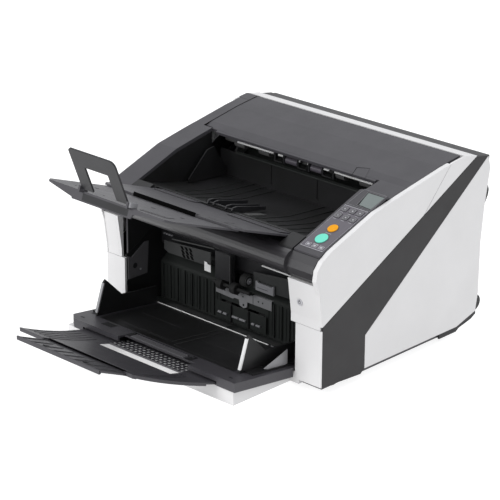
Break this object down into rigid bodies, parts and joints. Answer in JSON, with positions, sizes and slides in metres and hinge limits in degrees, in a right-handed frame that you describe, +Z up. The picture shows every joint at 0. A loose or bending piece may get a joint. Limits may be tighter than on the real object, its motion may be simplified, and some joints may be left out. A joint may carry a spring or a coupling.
{
  "type": "sheet fed document scanner",
  "caption": "Desktop sheet fed document scanner with a lifting paper hopper below, a hinged upper unit with an operator panel, and a stacker with sliding extensions.",
  "frame": {"origin": "centre of the bounding box at the standing surface", "axes": "+X to the operator's right, +Y towards the rear, +Z up"},
  "size_m": [0.46, 0.704, 0.3824],
  "materials": {
    "white_plastic": "light grey-white moulded plastic, fine texture",
    "charcoal_plastic": "charcoal moulded plastic, fine texture",
    "black_plastic": "black moulded plastic",
    "stripe_plastic": "dark grey moulded plastic",
    "roller_rubber": "dark rubber",
    "foot_rubber": "black rubber",
    "sheet_steel": "bright sheet steel",
    "scan_glass": "clear glass",
    "display_glass": "grey-green display window",
    "gear_plastic": "natural nylon",
    "key_plastic": "dark key plastic",
    "orange_plastic": "orange key",
    "mint_plastic": "mint green key",
    "grey_plastic": "grey button plastic"
  },
  "bodies": {
    "base": {"base_pan": "charcoal_plastic", "foot_front_left": "foot_rubber", "foot_rear_left": "foot_rubber", "foot_front_right": "foot_rubber", "foot_rear_right": "foot_rubber", "front_frame": "white_plastic", "lower_cover_left": "white_plastic", "lower_cover_right": "white_plastic", "stripe_left": "stripe_plastic", "stripe_right": "stripe_plastic", "rear_shell": "white_plastic", "rear_band": "stripe_plastic", "rear_cover": "white_plastic", "mains_inlet": "black_plastic", "rear_grip": "black_plastic", "inner_wall_left": "black_plastic", "inner_wall_right": "black_plastic", "feed_guide": "charcoal_plastic", "lower_scan_unit": "black_plastic", "lower_glass": "scan_glass", "hinge_rod": "sheet_steel", "drive_motor": "sheet_steel"},
    "upper_unit": {"top_cover": "charcoal_plastic", "left_frame": "charcoal_plastic", "upper_cover_left": "white_plastic", "upper_cover_right": "white_plastic", "operator_panel": "charcoal_plastic", "lcd": "display_glass", "stacker_tray": "black_plastic", "front_roll": "charcoal_plastic", "upper_scan_unit": "black_plastic", "upper_glass": "scan_glass", "hinge_arm_left": "sheet_steel", "hinge_arm_right": "sheet_steel", "pick_bracket": "sheet_steel"},
    "motor_pinion": {"motor_pinion": "gear_plastic"},
    "feed_roller": {"feed_roller": "roller_rubber"},
    "brake_roller": {"brake_roller": "roller_rubber"},
    "hopper_plate": {"hopper_plate": "charcoal_plastic"},
    "hopper_guide_left": {"hopper_guide_left": "charcoal_plastic"},
    "hopper_guide_right": {"hopper_guide_right": "charcoal_plastic"},
    "hopper_ext_1": {"hopper_ext_1": "charcoal_plastic"},
    "hopper_ext_2": {"hopper_ext_2": "charcoal_plastic"},
    "open_lever": {"open_lever": "charcoal_plastic"},
    "power_button": {"power_button": "grey_plastic"},
    "stop_button": {"stop_button": "orange_plastic"},
    "scan_button": {"scan_button": "mint_plastic"},
    "pick_roller": {"pick_roller": "roller_rubber"},
    "exit_roller": {"exit_roller": "roller_rubber"},
    "stacker_guide_left": {"stacker_guide_left": "charcoal_plastic"},
    "stacker_guide_right": {"stacker_guide_right": "charcoal_plastic"},
    "stacker_ext_1": {"stacker_ext_1": "charcoal_plastic"},
    "stacker_ext_2": {"stacker_ext_2": "charcoal_plastic"},
    "stacker_stopper": {"stacker_stopper": "black_plastic"},
    "key_1": {"key_1": "key_plastic"},
    "key_2": {"key_2": "key_plastic"},
    "key_3": {"key_3": "key_plastic"},
    "key_4": {"key_4": "key_plastic"},
    "key_5": {"key_5": "key_plastic"},
    "key_6": {"key_6": "key_plastic"}
  },
  "joints": [
    {"name": "upper_unit_hinge", "type": "hinge", "parent": "base", "child": "upper_unit", "pos_m": [0, 0.2655, 0.2895], "axis": [-1, 0, 0], "range_deg": [0, 60]},
    {"name": "feed_spin", "type": "hinge", "parent": "base", "child": "feed_roller", "pos_m": [0, 0.0799, 0.106], "axis": [1, 0, 0], "continuous": true},
    {"name": "pinion_spin", "type": "hinge", "parent": "base", "child": "motor_pinion", "pos_m": [0.162, 0.0919, 0.0678], "axis": [1, 0, 0], "continuous": true},
    {"name": "brake_spin", "type": "hinge", "parent": "base", "child": "brake_roller", "pos_m": [0, 0.0412, 0.04], "axis": [1, 0, 0], "continuous": true},
    {"name": "hopper_lift", "type": "slide", "parent": "base", "child": "hopper_plate", "axis": [0, 0, 1], "range_m": [0, 0.03]},
    {"name": "hopper_guide_left_slide", "type": "slide", "parent": "hopper_plate", "child": "hopper_guide_left", "axis": [1, 0, 0], "range_m": [0, 0.09]},
    {"name": "hopper_guide_right_slide", "type": "slide", "parent": "hopper_plate", "child": "hopper_guide_right", "axis": [-1, 0, 0], "range_m": [0, 0.09]},
    {"name": "hopper_ext_1_slide", "type": "hinge", "parent": "hopper_plate", "child": "hopper_ext_1", "pos_m": [-0.005, -0.045, 0.6304], "axis": [1, 0, 0], "range_deg": [0, 8.6]},
    {"name": "hopper_ext_2_slide", "type": "hinge", "parent": "hopper_ext_1", "child": "hopper_ext_2", "pos_m": [-0.005, -0.045, 0.6304], "axis": [1, 0, 0], "range_deg": [0, 4.2]},
    {"name": "stacker_ext_1_slide", "type": "slide", "parent": "upper_unit", "child": "stacker_ext_1", "axis": [0, 0.9409, -0.3387], "range_m": [0, 0.088]},
    {"name": "stacker_ext_2_slide", "type": "slide", "parent": "stacker_ext_1", "child": "stacker_ext_2", "axis": [0, 0.9409, -0.3387], "range_m": [0, 0.085]},
    {"name": "stopper_fold", "type": "hinge", "parent": "stacker_ext_2", "child": "stacker_stopper", "pos_m": [-0.00375, -0.25302, 0.31469], "axis": [1, 0, 0], "range_deg": [-125, 0]},
    {"name": "stacker_guide_left_slide", "type": "slide", "parent": "upper_unit", "child": "stacker_guide_left", "axis": [1, 0, 0], "range_m": [0, 0.06]},
    {"name": "stacker_guide_right_slide", "type": "slide", "parent": "upper_unit", "child": "stacker_guide_right", "axis": [-1, 0, 0], "range_m": [0, 0.06]},
    {"name": "exit_spin", "type": "hinge", "parent": "upper_unit", "child": "exit_roller", "pos_m": [0, 0.179, 0.254], "axis": [1, 0, 0], "continuous": true},
    {"name": "pick_spin", "type": "hinge", "parent": "upper_unit", "child": "pick_roller", "pos_m": [0, 0.0172, 0.0895], "axis": [1, 0, 0], "continuous": true},
    {"name": "open_lever_press", "type": "hinge", "parent": "upper_unit", "child": "open_lever", "pos_m": [0.125, 0.166, 0.2732], "axis": [1, 0, 0], "range_deg": [0, 12], "stiffness_Nm_per_rad": 0.05},
    {"name": "power_button_press", "type": "slide", "parent": "upper_unit", "child": "power_button", "axis": [0, 1, 0], "range_m": [0, 0.0015], "stiffness_N_per_m": 300},
    {"name": "key_1_press", "type": "slide", "parent": "upper_unit", "child": "key_1", "axis": [0, 0.3382, -0.9411], "range_m": [0, 0.001], "stiffness_N_per_m": 300},
    {"name": "key_2_press", "type": "slide", "parent": "upper_unit", "child": "key_2", "axis": [0, 0.3382, -0.9411], "range_m": [0, 0.001], "stiffness_N_per_m": 300},
    {"name": "key_3_press", "type": "slide", "parent": "upper_unit", "child": "key_3", "axis": [0, 0.3382, -0.9411], "range_m": [0, 0.001], "stiffness_N_per_m": 300},
    {"name": "key_4_press", "type": "slide", "parent": "upper_unit", "child": "key_4", "axis": [0, 0.3382, -0.9411], "range_m": [0, 0.001], "stiffness_N_per_m": 300},
    {"name": "key_5_press", "type": "slide", "parent": "upper_unit", "child": "key_5", "axis": [0, 0.3382, -0.9411], "range_m": [0, 0.001], "stiffness_N_per_m": 300},
    {"name": "key_6_press", "type": "slide", "parent": "upper_unit", "child": "key_6", "axis": [0, 0.3382, -0.9411], "range_m": [0, 0.001], "stiffness_N_per_m": 300},
    {"name": "stop_button_press", "type": "slide", "parent": "upper_unit", "child": "stop_button", "axis": [0, 0.3382, -0.9411], "range_m": [0, 0.0012], "stiffness_N_per_m": 300},
    {"name": "scan_button_press", "type": "slide", "parent": "upper_unit", "child": "scan_button", "axis": [0, 0.3382, -0.9411], "range_m": [0, 0.0012], "stiffness_N_per_m": 300}
  ],
  "couplings": [
    {"joint": "pinion_spin", "follows": "feed_spin", "ratio": -3}
  ]
}
